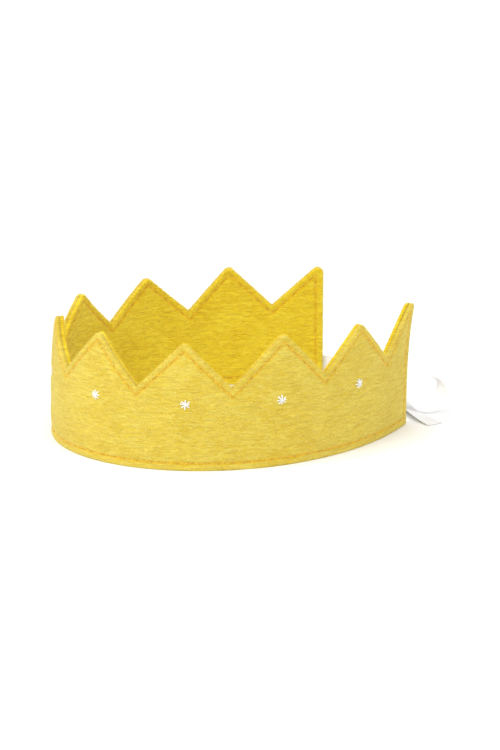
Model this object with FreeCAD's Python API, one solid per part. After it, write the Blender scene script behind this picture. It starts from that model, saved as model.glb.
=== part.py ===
import FreeCAD, Part
import math
import os

# A child's dress-up crown: two layers of thick felt, cut with a zigzag top edge, sewn together
# all round and bent into an open oval. A small star is embroidered under each whole tooth, and
# a ribbon sewn in at each end is tied in a bow across the gap. Lengths are millimetres.
#
# The pattern is drawn flat, with "along" running from one end of the band to the other and
# "up" rising from the bottom edge, and is then wrapped on to bent surfaces at several depths.

# Flat pattern of the felt.
TOOTH_PITCH = 50.0
WHOLE_TEETH = 8
TIP_HEIGHT = 67.5
NOTCH_HEIGHT = 44.0
END_MARGIN = 1.6
TIP_RADIUS = 2.6
END_TIP_RADIUS = 3.0

# How far each tip and notch, from the first end to the last, was cut from its drawn place.
TIP_SHIFTS = (0.0, 1.5, 0.5, 0.3, 0.3, 0.0, -0.5, 1.1, -0.2, 0.0)
TIP_RISES = (-0.5, 0.6, -1.8, -2.0, -1.5, 0.9, -0.3, 2.6, 0.3, 1.6)
NOTCH_SHIFTS = (1.8, -0.9, -1.3, 0.0, 0.0, -0.8, -0.9, 1.2, 0.0)
NOTCH_RISES = (1.3, 0.0, -0.9, 0.0, 0.0, -0.6, -0.5, 1.0, 0.0)

# Felt, and the seam that runs round every edge.
FELT_THICKNESS = 2.0
EDGE_ROUND = 0.9
SEAM_INSET = 3.1
STRAIGHT_EDGE_EXTRA = 0.9
SEAM_WIDTH = 1.0
SEAM_DEPTH = 0.45

# Bend of the band seen from above: the radius at stations spaced evenly from the first end.
BEND_RADII = (570.0, 163.0, 92.0, 66.0, 75.0, 99.0, 131.0, 169.0)
START_HEADING = 178.6
TIP_LEAN = 3.2
PLAN_STEP = 24.0

# Embroidered stars: long stitches crossing at the middle.
STAR_HEIGHT = 35.8
STAR_SPAN = 5.6
STAR_THREAD = 0.8
STAR_RISE = 0.6
STAR_SHOULDER = 0.6
STAR_SHOULDER_RISE = 0.75
STAR_STITCHES = 4
STAR_CLEARANCE = 0.05

# Ribbon ties, and the knot between them, placed from the middle of the gap.
RIBBON_WIDTH = 10.0
RIBBON_THICKNESS = 0.3
RIBBON_CLEARANCE = 0.1
RIBBON_HEIGHT = 11.0
RIBBON_SEWN_IN = 9.0
GATHERED_WIDTH = 5.0
KNOT_ALONG_GAP = 5.5
KNOT_OUT_OF_GAP = 6.0
KNOT_HEIGHT = 9.2
BOW_TURN = 40.0
WRAP_ENTRY_HEIGHT = 1.4
WRAP_LENGTH = 4.6
WRAP_WIDTH = 7.6
WRAP_DEPTH = 7.0
WRAP_ROUND = 1.6
WRAP_GAP = 0.3

# Bow shapes, hand laid: each station is a place from the knot (out along the bow, across it, up),
# the way the ribbon's width points there, in the same directions, and the ribbon's width.
WIDE = RIBBON_WIDTH
RIGHT_LOOP = (
    ((2.7, 0, 1.4), (0, 1, 0), GATHERED_WIDTH),
    ((7.5, 0.5, 3.4), (-0.15, 1, 0.2), 6.5),
    ((12, 1, 5.8), (-0.25, 0.9, 0.4), 8.5),
    ((17.5, 1.5, 7.3), (-0.3, 0.8, 0.5), WIDE),
    ((24, 2.3, 8.4), (-0.3, 0.95, 0.1), WIDE),
    ((30, 2, 8.9), (-0.3, 0.95, -0.1), WIDE),
    ((34.8, 1.3, 7.4), (-0.5, 0.75, -0.3), WIDE),
    ((37.2, 0, 4), (-0.8, 0.5, -0.1), WIDE),
    ((37.6, -2, 0), (-0.9, 0.3, 0.2), WIDE),
    ((35, -4.5, -3.3), (-0.7, 0.3, 0.65), WIDE),
    ((30.5, -6.2, -4.2), (-0.5, 0.4, 0.75), WIDE),
    ((25, -5.4, -3.4), (-0.35, 0.9, 0.15), WIDE),
    ((19, -3.3, -2.9), (-0.3, 0.95, -0.3), 9),
    ((13, -1.2, -2.4), (-0.1, 1, -0.1), 7.5),
    ((8, -0.5, -1.8), (0, 1, 0), 6),
    ((3.2, 0, -1), (0, 1, 0), GATHERED_WIDTH))
LEFT_LOOP = (
    ((-2.7, 0, 1.2), (0, 1, 0), GATHERED_WIDTH),
    ((-7.5, 0.5, 2.4), (0, 1, 0), 6.5),
    ((-13, 0, 3.8), (0, 1, 0.2), 9),
    ((-20, -2, 4.2), (0.3, 0.95, 0.2), WIDE),
    ((-27, -5, 3.6), (0.4, 0.9, 0.2), WIDE),
    ((-32, -8.6, 1.4), (0.5, 0.85, 0.2), WIDE),
    ((-33.6, -11.6, -2.3), (0.6, 0.75, 0.1), WIDE),
    ((-30.4, -11.8, -5.8), (0.6, 0.8, 0.1), WIDE),
    ((-24, -9.6, -6.8), (0.5, 0.85, 0.1), WIDE),
    ((-17, -6.4, -6.6), (0.4, 0.9, 0), WIDE),
    ((-12, -3.2, -5), (0.2, 1, 0), 8.5),
    ((-7, -1, -2.8), (0, 1, 0), 6.5),
    ((-2.5, 0, -1), (0, 1, 0), GATHERED_WIDTH))
RIGHT_TAIL = (
    ((3.2, 0, -2.4), (0, 1, 0), GATHERED_WIDTH),
    ((7.4, -0.4, -3.8), (0, 1, 0), 6),
    ((12, -1.6, -6.8), (0.1, 1, 0), 8),
    ((17, -4, -8.2), (0.45, 0.9, -0.1), WIDE),
    ((22.4, -8.6, -7.6), (0.65, 0.75, -0.25), WIDE),
    ((28.2, -14.2, -7.5), (0.65, 0.75, -0.25), WIDE),
    ((35.2, -20, -8.2), (0.65, 0.75, -0.12), WIDE),
    ((43.3, -25.5, -8.85), (0.75, 0.65, 0), WIDE))
LEFT_TAIL = (
    ((-2.6, 0, -2.4), (0, 1, 0), GATHERED_WIDTH),
    ((-7.2, 1, -4), (0.1, 1, 0), 6),
    ((-12, 2, -7), (0.2, 0.95, 0), 8),
    ((-17, 4, -8.4), (0.4, 0.9, 0), WIDE),
    ((-23, 8, -8.7), (0.55, 0.85, 0), WIDE),
    ((-29, 13, -8.8), (0.65, 0.75, 0), WIDE),
    ((-34.5, 19.5, -8.85), (0.8, 0.6, 0), WIDE))

# Leads from the band's ends to the knot: share of the way, how far it bows aside and rises, how
# much the width has turned from upright towards the bow's own direction, and the width.
LEFT_LEAD = (
    (0.12, 3.8, -0.3, (0, 1), WIDE),
    (0.28, 6.6, -0.7, (0, 1), WIDE),
    (0.48, 6.8, -1.0, (0, 1), WIDE),
    (0.7, 4.4, -1.2, (0.2, 1), WIDE),
    (0.86, 1.4, -0.8, (0.8, 0.8), 7.5),
    (0.96, 0.2, -0.1, (1, 0.2), GATHERED_WIDTH),
    (1.05, 0, 0, (1, 0), 4.4))
RIGHT_LEAD = (
    (0.1, -1.7, 0.1, (0, 1), WIDE),
    (0.25, -3.2, 0.3, (0, 1), WIDE),
    (0.45, -3.8, 0.2, (0, 1), WIDE),
    (0.68, -2.6, -0.3, (0.4, 0.9), 9),
    (0.86, -0.8, -0.4, (0.9, 0.5), 7),
    (0.96, 0, -0.1, (1, 0.1), GATHERED_WIDTH),
    (1.05, 0, 0, (1, 0), 4.4))

# Rows of poles up a bent surface, the gap that sewing faces may close, the choice that rules a
# face between two edges from start to start, and a ribbon strip's steps between stations.
LEAN_ROWS = 2
SEWING_TOLERANCE = 0.01
SAME_WAY = 1
STRIP_STEPS = 3

Vec = FreeCAD.Vector
Vec2 = FreeCAD.Base.Vector2d
UP = Vec(0, 0, 1)

FIRST_NOTCH = TOOTH_PITCH / 2 + END_MARGIN
BAND_LENGTH = 2 * FIRST_NOTCH + WHOLE_TEETH * TOOTH_PITCH
PATTERN_TOP = TIP_HEIGHT + max(TIP_RISES) + 2 * END_TIP_RADIUS
LAYER_GAP = RIBBON_THICKNESS + 2 * RIBBON_CLEARANCE
BACK_DEPTH = LAYER_GAP / 2
FACE_DEPTH = BACK_DEPTH + FELT_THICKNESS


def bend_at(along):
    """Curvature of the band, which changes evenly between stations."""
    place = min(max(along / BAND_LENGTH, 0.0), 1.0) * (len(BEND_RADII) - 1)
    station = min(int(place), len(BEND_RADII) - 2)
    share = place - station
    return (1 - share) / BEND_RADII[station] + share / BEND_RADII[station + 1]


def plan_stations():
    """Places along the middle of the band, each with its point and the outward direction there."""
    steps = math.ceil(BAND_LENGTH / PLAN_STEP)
    step = BAND_LENGTH / steps
    parts = 40
    heading = math.radians(START_HEADING)
    point = Vec(0, 0, 0)
    stations = []
    for i in range(steps + 1):
        stations.append((i * step, point, Vec(math.sin(heading), -math.cos(heading), 0)))
        for j in range(parts):
            half_turn = bend_at(i * step + (j + 0.5) * step / parts) * step / parts / 2
            heading += half_turn
            point = point + Vec(math.cos(heading), math.sin(heading), 0) * (step / parts)
            heading += half_turn
    return stations


STATIONS = plan_stations()


def bent_surface(depth):
    """The band's surface at a depth from its middle, outwards. Its own coordinates are along and up.

    It leans evenly to one side as it rises."""
    places = [along for along, _, _ in STATIONS]
    degree = LEAN_ROWS - 1
    top_lean = Vec(TIP_LEAN * (PATTERN_TOP / TIP_HEIGHT) ** degree, 0, 0)
    rows = []
    for k in range(LEAN_ROWS):
        lean = top_lean if k == degree else Vec(0, 0, 0)
        offset = UP * (PATTERN_TOP * k / degree) + lean
        row = Part.BSplineCurve()
        row.interpolate(Points=[point + out * depth + offset for _, point, out in STATIONS], Parameters=places)
        rows.append(row)
    first = rows[0]
    poles = [[row.getPole(i) for row in rows] for i in range(1, first.NbPoles + 1)]
    surface = Part.BSplineSurface()
    surface.buildFromPolesMultsKnots(
        poles, first.getMultiplicities(), [LEAN_ROWS] * 2, first.getKnots(), [0.0, PATTERN_TOP],
        False, False, first.Degree, degree)
    return surface


def tip_angle():
    """Half the angle at the point of a whole tooth."""
    return math.atan2(TOOTH_PITCH / 2, TIP_HEIGHT - NOTCH_HEIGHT)


def pattern_corners():
    """Corners of the flat pattern, anticlockwise from the first end's foot, each with its rounding."""
    corners = [(0.0, 0.0, 0.0), (BAND_LENGTH, 0.0, 0.0)]
    last = WHOLE_TEETH + 1
    for tooth in range(last, -1, -1):
        if tooth in (0, last):
            along = BAND_LENGTH if tooth else 0.0
            radius = END_TIP_RADIUS
            cut_off = radius * (1 / math.tan(tip_angle() / 2) - 1)
        else:
            along = FIRST_NOTCH + (tooth - 0.5) * TOOTH_PITCH + TIP_SHIFTS[tooth]
            radius = TIP_RADIUS
            cut_off = radius * (1 / math.sin(tip_angle()) - 1)
        corners.append((along, TIP_HEIGHT + TIP_RISES[tooth] + cut_off, radius))
        if tooth:
            notch = tooth - 1
            corners.append((FIRST_NOTCH + notch * TOOTH_PITCH + NOTCH_SHIFTS[notch],
                            NOTCH_HEIGHT + NOTCH_RISES[notch], 0.0))
    return corners


def inset_corners(inset, straight_extra):
    """The pattern's corners when its edges move inwards, the bottom and end edges by some more."""
    corners = pattern_corners()
    last = len(corners) - 1
    moved = []
    for i, (along, up, radius) in enumerate(corners):
        before, after = corners[i - 1], corners[(i + 1) % len(corners)]
        a = Vec(along - before[0], up - before[1], 0).normalize()
        b = Vec(after[0] - along, after[1] - up, 0).normalize()
        inset_before = inset + (straight_extra if i in (0, 1, 2) else 0.0)
        inset_after = inset + (straight_extra if i in (0, 1, last) else 0.0)
        shift = (b * inset_before - a * inset_after) * (1 / a.cross(b).z)
        moved.append((along + shift.x, up + shift.y, max(radius - inset, 0.0) if radius else 0.0))
    return moved


def pattern_loop(inset, straight_extra=0.0, rounded=True):
    """Flat lines and arcs round the pattern, inset from its edge."""
    corners = inset_corners(inset, straight_extra)
    starts, ends, arcs = [], [], []
    for i, (along, up, radius) in enumerate(corners):
        here = Vec(along, up, 0)
        if not (rounded and radius):
            starts.append(here)
            ends.append(here)
            arcs.append(None)
            continue
        before = Vec(*corners[i - 1][:2], 0)
        after = Vec(*corners[(i + 1) % len(corners)][:2], 0)
        a, b = (before - here).normalize(), (after - here).normalize()
        half = a.getAngle(b) / 2
        reach = radius / math.tan(half)
        ends.append(here + a * reach)
        starts.append(here + b * reach)
        arcs.append(here + (a + b).normalize() * (radius / math.sin(half) - radius))
    flat = []
    for i, middle in enumerate(arcs):
        if middle is not None:
            flat.append(Part.Geom2d.ArcOfCircle2d(*(Vec2(p.x, p.y) for p in (ends[i], middle, starts[i]))))
        leave, arrive = starts[i], ends[(i + 1) % len(arcs)]
        flat.append(Part.Geom2d.Line2dSegment(Vec2(leave.x, leave.y), Vec2(arrive.x, arrive.y)))
    return flat


def wrapped(flat, surface):
    return [piece.toShape(surface) for piece in flat]


def bridge(edges, other_edges):
    """Narrow ruled faces between two loops with the same pieces."""
    return [Part.makeRuledSurface(a, b, SAME_WAY) for a, b in zip(edges, other_edges)]


def standing_face(edge, other_edge):
    """The flat strip between two level edges that the band stands on."""
    a, b = (curve.discretize(2) for curve in (edge, other_edge))
    if (a[0] - b[0]).Length > (a[0] - b[-1]).Length:
        b.reverse()
    ends = [Part.makeLine(a[i], b[i]) for i in (-1, 0)]
    return Part.Face(Part.Wire([edge, ends[0], other_edge, ends[1]]))


def closed_solid(faces):
    shell = Part.makeShell(faces)
    shell.sewShape(SEWING_TOLERANCE)
    solid = Part.makeSolid(shell)
    if solid.Volume < 0:
        solid.reverse()
    return solid


def felt_layer(side):
    """One layer of felt. side is 1 for the outer layer and -1 for the inner one."""
    chamfer = EDGE_ROUND * (1 - math.cos(math.pi / 4))
    back = bent_surface(side * BACK_DEPTH)
    rim = bent_surface(side * (FACE_DEPTH - EDGE_ROUND))
    shoulder = bent_surface(side * (FACE_DEPTH - chamfer))
    face = bent_surface(side * FACE_DEPTH)
    valley = bent_surface(side * (FACE_DEPTH - SEAM_DEPTH))

    cut = wrapped(pattern_loop(0.0), back)
    cut_top = wrapped(pattern_loop(0.0), rim)
    rolled = wrapped(pattern_loop(chamfer), shoulder)
    welt_edge = wrapped(pattern_loop(EDGE_ROUND), face)
    welt_foot = wrapped(pattern_loop(SEAM_INSET - SEAM_WIDTH / 2, STRAIGHT_EDGE_EXTRA, False), face)
    seam = wrapped(pattern_loop(SEAM_INSET, STRAIGHT_EDGE_EXTRA, False), valley)
    panel_edge = wrapped(pattern_loop(SEAM_INSET + SEAM_WIDTH / 2, STRAIGHT_EDGE_EXTRA, False), face)

    welt = Part.Face(face, Part.Wire(welt_edge)).cut(Part.Face(face, Part.Wire(welt_foot)))
    faces = [Part.Face(back, Part.Wire(cut)), Part.Face(face, Part.Wire(panel_edge))] + welt.Faces
    faces += [standing_face(cut[0], cut_top[0])] + bridge(cut[1:], cut_top[1:])
    for a, b in ((cut_top, rolled), (rolled, welt_edge), (welt_foot, seam), (seam, panel_edge)):
        faces += bridge(a, b)
    return closed_solid(faces)


def star_stitch(tooth):
    """Embroidered star under a whole tooth: arched stitches on the outer layer's face."""
    half = STAR_SPAN / 2
    arch = [(-half, 0), (-half * STAR_SHOULDER, STAR_RISE * STAR_SHOULDER_RISE), (0, STAR_RISE),
            (half * STAR_SHOULDER, STAR_RISE * STAR_SHOULDER_RISE), (half, 0), (-half, 0)]
    outline = Part.makePolygon([Vec(along, -STAR_THREAD / 2, rise) for along, rise in arch])
    strand = Part.Face(outline).extrude(Vec(0, STAR_THREAD, 0))
    strands = []
    for i in range(STAR_STITCHES):
        crossing = strand.copy()
        crossing.rotate(Vec(0, 0, 0), UP, 180.0 * i / STAR_STITCHES)
        strands.append(crossing)
    star = strands[0].fuse(strands[1:]).Solids[0]

    skin = bent_surface(FACE_DEPTH + STAR_CLEARANCE)
    along = FIRST_NOTCH + (tooth - 0.5) * TOOTH_PITCH
    tangent = (skin.value(along + 1, STAR_HEIGHT) - skin.value(along - 1, STAR_HEIGHT)).normalize()
    rise = (skin.value(along, STAR_HEIGHT + 1) - skin.value(along, STAR_HEIGHT - 1)).normalize()
    star.Placement = FreeCAD.Placement(
        skin.value(along, STAR_HEIGHT), FreeCAD.Rotation(tangent, rise, tangent.cross(rise)))
    return star


def bow_frame():
    """The knot's middle, and the level directions out along the bow and across it."""
    first, last = STATIONS[0][1], STATIONS[-1][1]
    along_gap = (last - first).normalize()
    out_of_gap = UP.cross(along_gap)
    knot = (first + last) * 0.5 + along_gap * KNOT_ALONG_GAP + out_of_gap * KNOT_OUT_OF_GAP + UP * KNOT_HEIGHT
    turn = FreeCAD.Rotation(UP, BOW_TURN)
    return knot, turn.multVec(along_gap), turn.multVec(out_of_gap)


def in_bow(place):
    """A direction given out along the bow, across it and up."""
    _, out, across = bow_frame()
    return out * place[0] + across * place[1] + UP * place[2]


def bow_stations(shape):
    knot = bow_frame()[0]
    return [(knot + in_bow(place), in_bow(width_way), width) for place, width_way, width in shape]


def lead_stations(shape, side):
    """From between the felt layers to the knot. side is 1 at the first end and -1 at the last."""
    middle = bent_surface(0.0)
    end = 0.0 if side > 0 else BAND_LENGTH
    sewn = [middle.value(end + side * place, RIBBON_HEIGHT) for place in (RIBBON_SEWN_IN, RIBBON_SEWN_IN / 2, 0.0)]
    stations = [(point, UP, WIDE) for point in sewn]
    leave = sewn[-1]
    wrap_side = (side * (WRAP_GAP + WRAP_LENGTH) / 2, side * WRAP_WIDTH / 2, side * WRAP_ENTRY_HEIGHT)
    way = bow_frame()[0] + in_bow(wrap_side) - leave
    aside = UP.cross(way).normalize()
    for share, bowed, rise, (bow_way, upright), width in shape:
        point = leave + way * share + aside * bowed + UP * rise
        stations.append((point, in_bow((bow_way, 0, upright)), width))
    return stations


def flat_face(corners):
    return Part.Face(Part.makePolygon(corners + corners[:1]))


def ribbon_strip(stations):
    """A thin strip of ribbon through stations of point, width direction and width."""
    spine = Part.BSplineCurve()
    spine.interpolate(Points=[point for point, _, _ in stations])
    places = [spine.parameter(point) for point, _, _ in stations]
    rims = [[], [], [], []]
    for place, (point, width_way, width) in zip(places, stations):
        tangent = spine.tangent(place)[0]
        across = (width_way - tangent * width_way.dot(tangent)).normalize() * (width / 2)
        lift = tangent.cross(across).normalize() * (RIBBON_THICKNESS / 2)
        for rim, corner in zip(rims, (across + lift, across * -1 + lift, across * -1 - lift, across - lift)):
            rim.append(point + corner)
    finer = []
    for a, b in zip(places, places[1:]):
        finer += [a + (b - a) * i / STRIP_STEPS for i in range(STRIP_STEPS)]
    finer.append(places[-1])
    lines = []
    for rim in rims:
        curve = Part.BSplineCurve()
        curve.interpolate(Points=rim, Parameters=places)
        lines.append([curve.value(place) for place in finer])
    faces = [flat_face([line[end] for line in lines]) for end in (0, -1)]
    for a, b in zip(lines, lines[1:] + lines[:1]):
        for i in range(len(finer) - 1):
            faces += [flat_face([a[i], a[i + 1], b[i]]), flat_face([a[i + 1], b[i + 1], b[i]])]
    return closed_solid(faces)


def knot_wrap(side):
    """One of the two turns of ribbon that make the knot, side by side along the bow."""
    knot, out, across = bow_frame()
    wrap = Part.makeBox(WRAP_LENGTH, WRAP_WIDTH, WRAP_DEPTH, Vec(-WRAP_LENGTH / 2, -WRAP_WIDTH / 2, -WRAP_DEPTH / 2))
    wrap = wrap.makeChamfer(WRAP_ROUND, wrap.Edges)
    centre = knot + out * (side * (WRAP_GAP + WRAP_LENGTH) / 2)
    wrap.Placement = FreeCAD.Placement(centre, FreeCAD.Rotation(out, across, UP))
    return wrap


def ribbon(side, lead, loop, tail):
    """A whole ribbon: its sewn-in lead, its turn of the knot, its loop and its tail."""
    lines = (lead_stations(lead, side), bow_stations(loop), bow_stations(tail))
    return knot_wrap(side).fuse([ribbon_strip(line) for line in lines]).Solids[0]


def crown():
    pieces = {"outer_felt": felt_layer(1), "inner_felt": felt_layer(-1)}
    for tooth in range(1, WHOLE_TEETH + 1):
        pieces[f"star_stitch_{tooth}"] = star_stitch(tooth)
    pieces["left_ribbon"] = ribbon(1, LEFT_LEAD, RIGHT_LOOP, RIGHT_TAIL)
    pieces["right_ribbon"] = ribbon(-1, RIGHT_LEAD, LEFT_LOOP, LEFT_TAIL)
    return pieces


def on_origin(pieces):
    """Move every piece so that the origin is under the middle of them all. They already stand at zero."""
    box = FreeCAD.BoundBox()
    for shape in pieces.values():
        box.add(shape.optimalBoundingBox(False, False))
    for shape in pieces.values():
        shape.translate(Vec(-box.Center.x, -box.Center.y, 0))


if __name__ == "__main__":
    os.makedirs("parts", exist_ok=True)
    pieces = crown()
    on_origin(pieces)
    for name, shape in pieces.items():
        shape.exportStep(f"parts/{name}.step")
        print(name, "valid" if shape.isValid() else "broken", round(shape.Volume, 1), "cubic millimetres")
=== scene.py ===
import math

import bpy
import numpy as np
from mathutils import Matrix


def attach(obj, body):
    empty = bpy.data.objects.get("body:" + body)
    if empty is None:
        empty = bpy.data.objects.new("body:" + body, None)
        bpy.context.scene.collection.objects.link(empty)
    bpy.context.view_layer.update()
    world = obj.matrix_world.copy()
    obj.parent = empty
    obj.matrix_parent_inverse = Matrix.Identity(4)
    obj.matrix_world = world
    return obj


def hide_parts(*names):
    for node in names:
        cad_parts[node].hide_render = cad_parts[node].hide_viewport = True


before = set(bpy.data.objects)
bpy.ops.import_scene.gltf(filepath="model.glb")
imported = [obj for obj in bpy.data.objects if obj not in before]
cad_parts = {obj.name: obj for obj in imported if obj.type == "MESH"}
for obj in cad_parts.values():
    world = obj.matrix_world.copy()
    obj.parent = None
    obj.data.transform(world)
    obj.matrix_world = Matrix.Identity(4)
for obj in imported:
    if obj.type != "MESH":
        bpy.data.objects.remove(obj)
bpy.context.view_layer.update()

# Every length below is in millimetres, and turns into metres when a mesh is made.
MM = 0.001

# Flat pattern of the felt: "along" runs from one end of the band to the other, "up" from its foot.
TOOTH_PITCH = 50.0
WHOLE_TEETH = 8
TIP_HEIGHT = 67.5
NOTCH_HEIGHT = 44.0
END_MARGIN = 1.6
TIP_RADIUS = 2.6
END_TIP_RADIUS = 3.0
TIP_SHIFTS = (0.0, 1.5, 0.5, 0.3, 0.3, 0.0, -0.5, 1.1, -0.2, 0.0)
TIP_RISES = (-0.5, 0.6, -1.8, -2.0, -1.5, 0.9, -0.3, 2.6, 0.3, 1.6)
NOTCH_SHIFTS = (1.8, -0.9, -1.3, 0.0, 0.0, -0.8, -0.9, 1.2, 0.0)
NOTCH_RISES = (1.3, 0.0, -0.9, 0.0, 0.0, -0.6, -0.5, 1.0, 0.0)
FIRST_NOTCH = TOOTH_PITCH / 2 + END_MARGIN
BAND_LENGTH = 2 * FIRST_NOTCH + WHOLE_TEETH * TOOTH_PITCH

# Depths are measured outwards from the middle of the two layers.
BACK_DEPTH = 0.25
FACE_DEPTH = 2.25
EDGE_ROUND = 0.9
SEAM_INSET = 3.1
STRAIGHT_EDGE_EXTRA = 0.9
SEAM_DEPTH = 0.5
SEAM_HALF_WIDTH = 0.62
STITCH_PITCH = 2.6
STITCH_SHARE = 0.8
STITCH_RADIUS = 0.34

# Bend of the band seen from above.
BEND_RADII = (570.0, 163.0, 92.0, 66.0, 75.0, 99.0, 131.0, 169.0)
START_HEADING = 178.6
# How far the tips lean outwards, at places spaced evenly from the first end.
TIP_LEANS = (-1.0, -2.55, -3.2, -2.4, 1.5, 4.0)
LEAN_POWER = 3
ORIGIN = (39.943, 80.452)

STAR_HEIGHT = 35.8
STAR_SPAN = 5.7
RIBBON_WIDTH = 10.0
RIBBON_THICKNESS = 0.3
RIBBON_HEIGHT = 11.0
GATHERED_WIDTH = 5.0


def bent_band():
    """Places along the band's middle line: how far along, the point and the outward direction."""
    step = 0.2
    count = int(round(BAND_LENGTH / step))
    along = np.linspace(0.0, BAND_LENGTH, count + 1)
    bends = np.interp(along / BAND_LENGTH, np.linspace(0, 1, len(BEND_RADII)), 1 / np.array(BEND_RADII))
    turns = (bends[1:] + bends[:-1]) / 2 * np.diff(along)
    heading = math.radians(START_HEADING) + np.concatenate([[0.0], np.cumsum(turns)])
    middle = (heading[1:] + heading[:-1]) / 2
    steps = np.stack([np.cos(middle), np.sin(middle)], 1) * np.diff(along)[:, None]
    points = np.concatenate([[[0.0, 0.0]], np.cumsum(steps, axis=0)]) + np.array(ORIGIN)
    reach = 5.0
    first = points[0] - reach * np.array([math.cos(heading[0]), math.sin(heading[0])])
    last = points[-1] + reach * np.array([math.cos(heading[-1]), math.sin(heading[-1])])
    along = np.concatenate([[-reach], along, [BAND_LENGTH + reach]])
    points = np.concatenate([[first], points, [last]])
    heading = np.concatenate([[heading[0]], heading, [heading[-1]]])
    return along, points, heading


BAND = bent_band()


def on_band(along, up, depth):
    """Points of the bent band at pattern coordinates and a depth outwards from its middle."""
    table, points, heading = BAND
    turned = np.interp(along, table, heading)
    lean = np.interp(along / BAND_LENGTH, np.linspace(0, 1, len(TIP_LEANS)), TIP_LEANS)
    depth = depth + lean * (np.maximum(up, 0) / TIP_HEIGHT) ** LEAN_POWER
    x = np.interp(along, table, points[:, 0]) + np.sin(turned) * depth
    y = np.interp(along, table, points[:, 1]) - np.cos(turned) * depth
    return np.stack([x, y, np.maximum(up + 0 * x, 0.03)], -1)


def pattern_corners():
    """Corners of the flat pattern, anticlockwise from the first end's foot, each with its rounding."""
    half_angle = math.atan2(TOOTH_PITCH / 2, TIP_HEIGHT - NOTCH_HEIGHT)
    corners = [(0.0, 0.0, 0.0), (BAND_LENGTH, 0.0, 0.0)]
    last = WHOLE_TEETH + 1
    for tooth in range(last, -1, -1):
        if tooth in (0, last):
            along = BAND_LENGTH if tooth else 0.0
            radius = END_TIP_RADIUS
            cut_off = radius * (1 / math.tan(half_angle / 2) - 1)
        else:
            along = FIRST_NOTCH + (tooth - 0.5) * TOOTH_PITCH + TIP_SHIFTS[tooth]
            radius = TIP_RADIUS
            cut_off = radius * (1 / math.sin(half_angle) - 1)
        corners.append((along, TIP_HEIGHT + TIP_RISES[tooth] + cut_off, radius))
        if tooth:
            notch = tooth - 1
            place = FIRST_NOTCH + notch * TOOTH_PITCH + NOTCH_SHIFTS[notch]
            corners.append((place, NOTCH_HEIGHT + NOTCH_RISES[notch], 0.0))
    return corners


def unit(v):
    return v / np.linalg.norm(v, axis=-1, keepdims=True)


def outline_points():
    """The pattern's edge as a closed line, with the tips rounded by short steps."""
    corners = pattern_corners()
    line = []
    for i, (along, up, radius) in enumerate(corners):
        here = np.array([along, up])
        if not radius:
            line.append(here)
            continue
        a = unit(np.array(corners[i - 1][:2]) - here)
        b = unit(np.array(corners[(i + 1) % len(corners)][:2]) - here)
        half = math.acos(float(np.dot(a, b))) / 2
        centre = here + unit(a + b) * radius / math.sin(half)
        start = here + a * radius / math.tan(half) - centre
        end = here + b * radius / math.tan(half) - centre
        for share in np.linspace(0, 1, 15):
            line.append(centre + unit(start * (1 - share) + end * share) * radius)
    return np.array(line)


def seam_corners():
    """Corners of the seam, which follows the edge further in."""
    corners = pattern_corners()
    last = len(corners) - 1
    moved = []
    for i, (along, up, _) in enumerate(corners):
        before, after = corners[i - 1], corners[(i + 1) % len(corners)]
        a = unit(np.array([along - before[0], up - before[1]]))
        b = unit(np.array([after[0] - along, after[1] - up]))
        inset_before = SEAM_INSET + (STRAIGHT_EDGE_EXTRA if i in (0, 1, 2) else 0.0)
        inset_after = SEAM_INSET + (STRAIGHT_EDGE_EXTRA if i in (0, 1, last) else 0.0)
        turn = a[0] * b[1] - a[1] * b[0]
        moved.append(np.array([along, up]) + (b * inset_before - a * inset_after) / turn)
    return np.array(moved)


OUTLINE = outline_points()
SEAM = seam_corners()


def nearest(loop, along, up):
    """Distance from a closed line of straight pieces, and how far round it the nearest place is."""
    a = loop
    b = np.roll(loop, -1, axis=0)
    lengths = np.linalg.norm(b - a, axis=1)
    starts = np.concatenate([[0.0], np.cumsum(lengths)[:-1]])
    flat = np.stack([along.ravel(), up.ravel()], 1)
    best = np.full(len(flat), 1e9)
    round_it = np.zeros(len(flat))
    for start, end, length, so_far in zip(a, b, lengths, starts):
        if length < 1e-9:
            continue
        way = (end - start) / length
        share = np.clip((flat - start) @ way, 0, length)
        gap = np.linalg.norm(flat - start - share[:, None] * way, axis=1)
        closer = gap < best
        best[closer] = gap[closer]
        round_it[closer] = so_far + share[closer]
    return best.reshape(along.shape), round_it.reshape(along.shape)


def top_of(along):
    """Height of the zigzag edge."""
    upper = OUTLINE[2:]
    order = np.argsort(upper[:, 0], kind="stable")
    return np.interp(along, upper[order, 0], upper[order, 1])


def waves(along, up, seed, scale):
    """Soft unevenness: a few sine waves in different directions."""
    picks = np.random.default_rng(seed)
    total = 0.0 * along
    for _ in range(9):
        angle = picks.uniform(0, math.pi)
        size = scale * picks.uniform(0.6, 1.8)
        phase = picks.uniform(0, 2 * math.pi)
        place = along * math.cos(angle) + up * math.sin(angle)
        total = total + np.sin(place / size * 2 * math.pi + phase)
    return total / 4.5


def face_depth(along, up, seed):
    """Depth of a felt layer's soft face: rounded rim, puffed welt, seam groove and unevenness."""
    edge, _ = nearest(OUTLINE, along, up)
    seam, round_it = nearest(SEAM, along, up)
    inner = np.clip(EDGE_ROUND - edge, 0, EDGE_ROUND)
    rounding = EDGE_ROUND - np.sqrt(np.maximum(EDGE_ROUND ** 2 - inner ** 2, 0))
    pull = 0.78 + 0.22 * np.cos(2 * math.pi * round_it / STITCH_PITCH)
    groove = SEAM_DEPTH * pull * np.exp(-(seam / SEAM_HALF_WIDTH) ** 2)
    dip = 0.22 * np.exp(-(seam / 2.2) ** 2)
    calm = np.clip(edge / 2.5, 0, 1)
    uneven = 0.13 * waves(along, up, seed, 15) + 0.05 * waves(along, up, seed + 1, 4.2)
    return FACE_DEPTH - rounding - groove - dip + 0.1 + uneven * calm


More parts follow.
